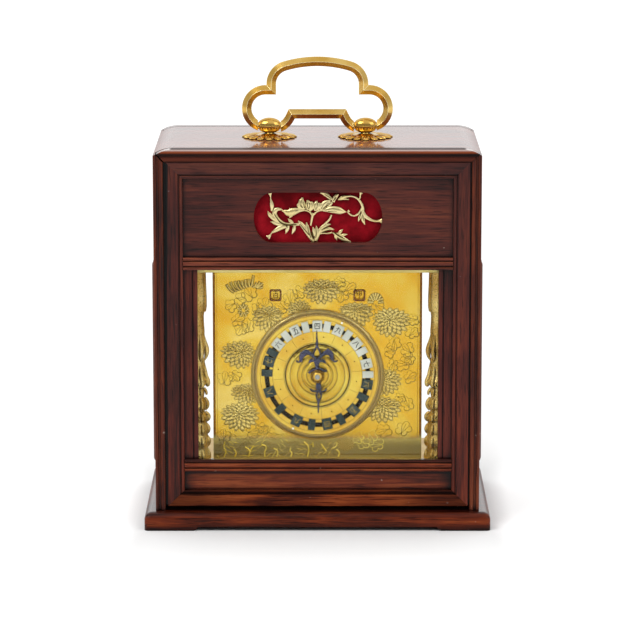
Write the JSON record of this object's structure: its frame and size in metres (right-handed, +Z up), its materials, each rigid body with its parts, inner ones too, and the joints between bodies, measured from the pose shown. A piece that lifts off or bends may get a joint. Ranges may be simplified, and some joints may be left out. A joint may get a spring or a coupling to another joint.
{
  "type": "japanese table clock",
  "caption": "Upright rosewood table clock with a lift-out glazed front, hinged carrying handle, revolving dial with movable hour plaques, and a spring-driven striking movement.",
  "frame": {"origin": "middle of the base board's underside, on the surface that the clock stands on", "axes": "+X to the viewer's right, the dial faces -Y, +Z up"},
  "size_m": [0.156, 0.0954, 0.2091],
  "materials": {
    "rosewood": "oiled and polished dark red-brown rosewood",
    "gilt_brass": "gilt, fine-ground and engraved",
    "brass": "polished cast brass",
    "fret_brass": "sawn and lightly chased pale brass",
    "silver": "silvered plaques, satin",
    "dark_metal": "dark patinated plaques",
    "blued_steel": "heat-blued steel",
    "steel": "polished steel",
    "glass": "clear flat pane",
    "silk": "red silk on board",
    "bell_metal": "turned bell metal"
  },
  "bodies": {
    "case": {"base_plinth": "rosewood", "front_left_post": "rosewood", "front_right_post": "rosewood", "rear_left_post": "rosewood", "rear_right_post": "rosewood", "side_boards": "rosewood", "side_window_mouldings": "rosewood", "top_board": "rosewood", "sills": "rosewood", "movement_seat_rails": "rosewood", "side_panes": "glass", "handle_rosettes": "brass", "handle_posts": "brass", "frame_bottom_plate": "brass", "frame_top_plate": "brass", "front_columns": "gilt_brass", "rear_columns": "brass", "front_plate": "gilt_brass", "dial_bezel": "gilt_brass", "train_front_plate": "brass", "train_back_plate": "brass", "escapement_cock": "brass", "hand": "blued_steel", "hand_collet": "brass", "hand_stud": "steel", "bell": "bell_metal", "bell_stand": "brass"},
    "front_panel": {"front_left_stile": "rosewood", "front_right_stile": "rosewood", "front_top_rail": "rosewood", "front_bottom_rail": "rosewood", "front_top_moulding": "rosewood", "upper_cross_rail": "rosewood", "lower_cross_rail": "rosewood", "upper_panel": "rosewood", "lower_panel": "rosewood", "glazing_fillets": "rosewood", "front_pane": "glass", "fret": "fret_brass", "silk_backing": "silk"},
    "back_panel": {"back_frame": "rosewood", "back_top_moulding": "rosewood", "back_pane": "glass"},
    "carrying_handle": {"handle": "brass"},
    "dial": {"dial_disc": "gilt_brass", "dial_wheel": "brass", "day_plaques": "silver", "night_plaques": "dark_metal"},
    "going_barrel": {"going_barrel": "brass"},
    "second_wheel": {"second_wheel": "brass"},
    "crown_wheel": {"crown_wheel": "brass"},
    "balance": {"balance": "brass"},
    "strike_barrel": {"strike_barrel": "brass"},
    "pin_wheel": {"pin_wheel": "brass"},
    "fly": {"fly": "brass"},
    "hammer": {"hammer": "steel"},
    "left_calendar": {"left_calendar_disc": "gilt_brass"},
    "right_calendar": {"right_calendar_disc": "gilt_brass"}
  },
  "joints": [
    {"name": "front_panel_lift", "type": "slide", "parent": "case", "child": "front_panel", "axis": [0, 0, 1], "range_m": [0, 0.16]},
    {"name": "back_panel_lift", "type": "slide", "parent": "case", "child": "back_panel", "axis": [0, 0, 1], "range_m": [0, 0.16]},
    {"name": "handle_swing", "type": "hinge", "parent": "case", "child": "carrying_handle", "pos_m": [0, 0, 0.1777], "axis": [1, 0, 0], "range_deg": [-95, 95]},
    {"name": "going_barrel_turn", "type": "hinge", "parent": "case", "child": "going_barrel", "pos_m": [0.02097, 0, 0.05142], "axis": [0, 1, 0], "continuous": true},
    {"name": "dial_turn", "type": "hinge", "parent": "case", "child": "dial", "pos_m": [0, 0, 0.0661], "axis": [0, 1, 0], "continuous": true},
    {"name": "second_wheel_turn", "type": "hinge", "parent": "case", "child": "second_wheel", "pos_m": [0.02596, 0, 0.07489], "axis": [0, 1, 0], "continuous": true},
    {"name": "crown_wheel_turn", "type": "hinge", "parent": "case", "child": "crown_wheel", "pos_m": [0.01592, 0, 0.08923], "axis": [0, 1, 0], "continuous": true},
    {"name": "balance_swing", "type": "hinge", "parent": "case", "child": "balance", "pos_m": [0.01592, -0.0004, 0.08923], "axis": [0, 0, 1], "range_deg": [-40, 40]},
    {"name": "strike_barrel_turn", "type": "hinge", "parent": "case", "child": "strike_barrel", "pos_m": [-0.02097, 0, 0.05142], "axis": [0, 1, 0], "continuous": true},
    {"name": "pin_wheel_turn", "type": "hinge", "parent": "case", "child": "pin_wheel", "pos_m": [-0.02596, 0, 0.07489], "axis": [0, 1, 0], "continuous": true},
    {"name": "fly_turn", "type": "hinge", "parent": "case", "child": "fly", "pos_m": [-0.01592, 0, 0.08923], "axis": [0, 1, 0], "continuous": true},
    {"name": "hammer_lift", "type": "hinge", "parent": "case", "child": "hammer", "pos_m": [-0.0415, 0, 0.1039], "axis": [0, -1, 0], "range_deg": [0, 12]},
    {"name": "left_calendar_turn", "type": "hinge", "parent": "case", "child": "left_calendar", "pos_m": [-0.019, 0, 0.0923], "axis": [0, 1, 0], "continuous": true},
    {"name": "right_calendar_turn", "type": "hinge", "parent": "case", "child": "right_calendar", "pos_m": [0.019, 0, 0.0923], "axis": [0, 1, 0], "continuous": true}
  ],
  "couplings": [
    {"joint": "dial_turn", "follows": "going_barrel_turn", "ratio": -0.33333},
    {"joint": "second_wheel_turn", "follows": "going_barrel_turn", "ratio": -4},
    {"joint": "crown_wheel_turn", "follows": "going_barrel_turn", "ratio": 16},
    {"joint": "pin_wheel_turn", "follows": "strike_barrel_turn", "ratio": -4},
    {"joint": "fly_turn", "follows": "strike_barrel_turn", "ratio": 16}
  ]
}
